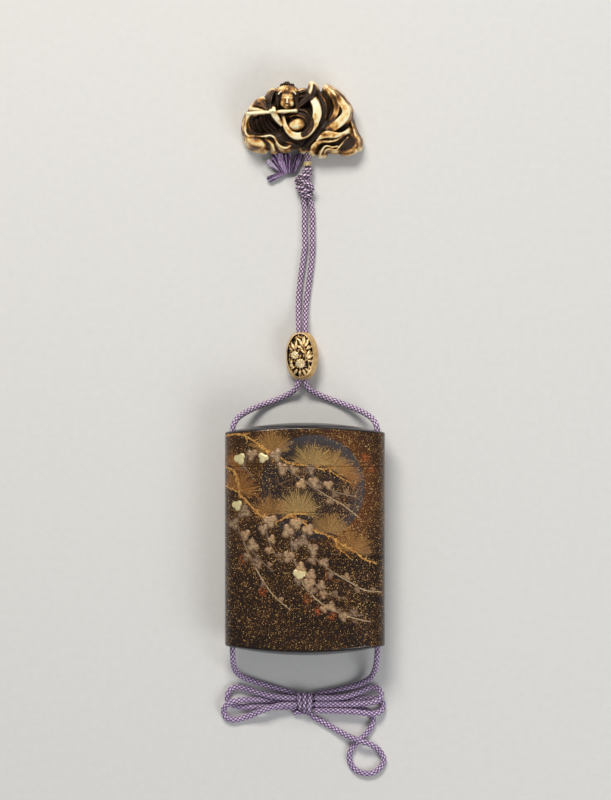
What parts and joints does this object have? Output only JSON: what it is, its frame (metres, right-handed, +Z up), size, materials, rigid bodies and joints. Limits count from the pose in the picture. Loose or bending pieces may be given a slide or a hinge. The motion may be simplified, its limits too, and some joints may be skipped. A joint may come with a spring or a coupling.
{
  "type": "inro case",
  "caption": "Tiered flattened-oval lacquer case with lift-off lid, threaded on a silk cord with a pierced bead, a carved toggle and a bow.",
  "frame": {"origin": "bottom centre of the box around the case, the bead and the toggle as the set lies on its back", "axes": "+Y from the bottom of the case to the toggle, +Z up out of the decorated face, +X to the right"},
  "size_m": [0.0622, 0.2608, 0.0229],
  "materials": {
    "lacquer": "gloss dark brown lacquer over wood, strewn with gold flakes",
    "gold": "satin gold, dark in the recesses",
    "ivory": "polished ivory, cream on the crests and stained brown in the carving",
    "silk": "round braided silk in purple and pale lilac"
  },
  "bodies": {
    "root": {"lid": "lacquer", "tier_1": "lacquer", "tier_2": "lacquer", "tier_3": "lacquer", "tier_4": "lacquer", "bead": "gold", "netsuke": "ivory", "cord_left": "silk", "cord_right": "silk", "bow_loop_left_upper": "silk", "bow_loop_left_lower": "silk", "bow_loop_right_upper": "silk", "bow_loop_right_lower": "silk", "bow_tail": "silk", "netsuke_knot": "silk", "bow_knot": "silk", "binding_ring": "gold", "cord_neck": "silk", "silk_tuft": "silk"}
  },
  "joints": []
}
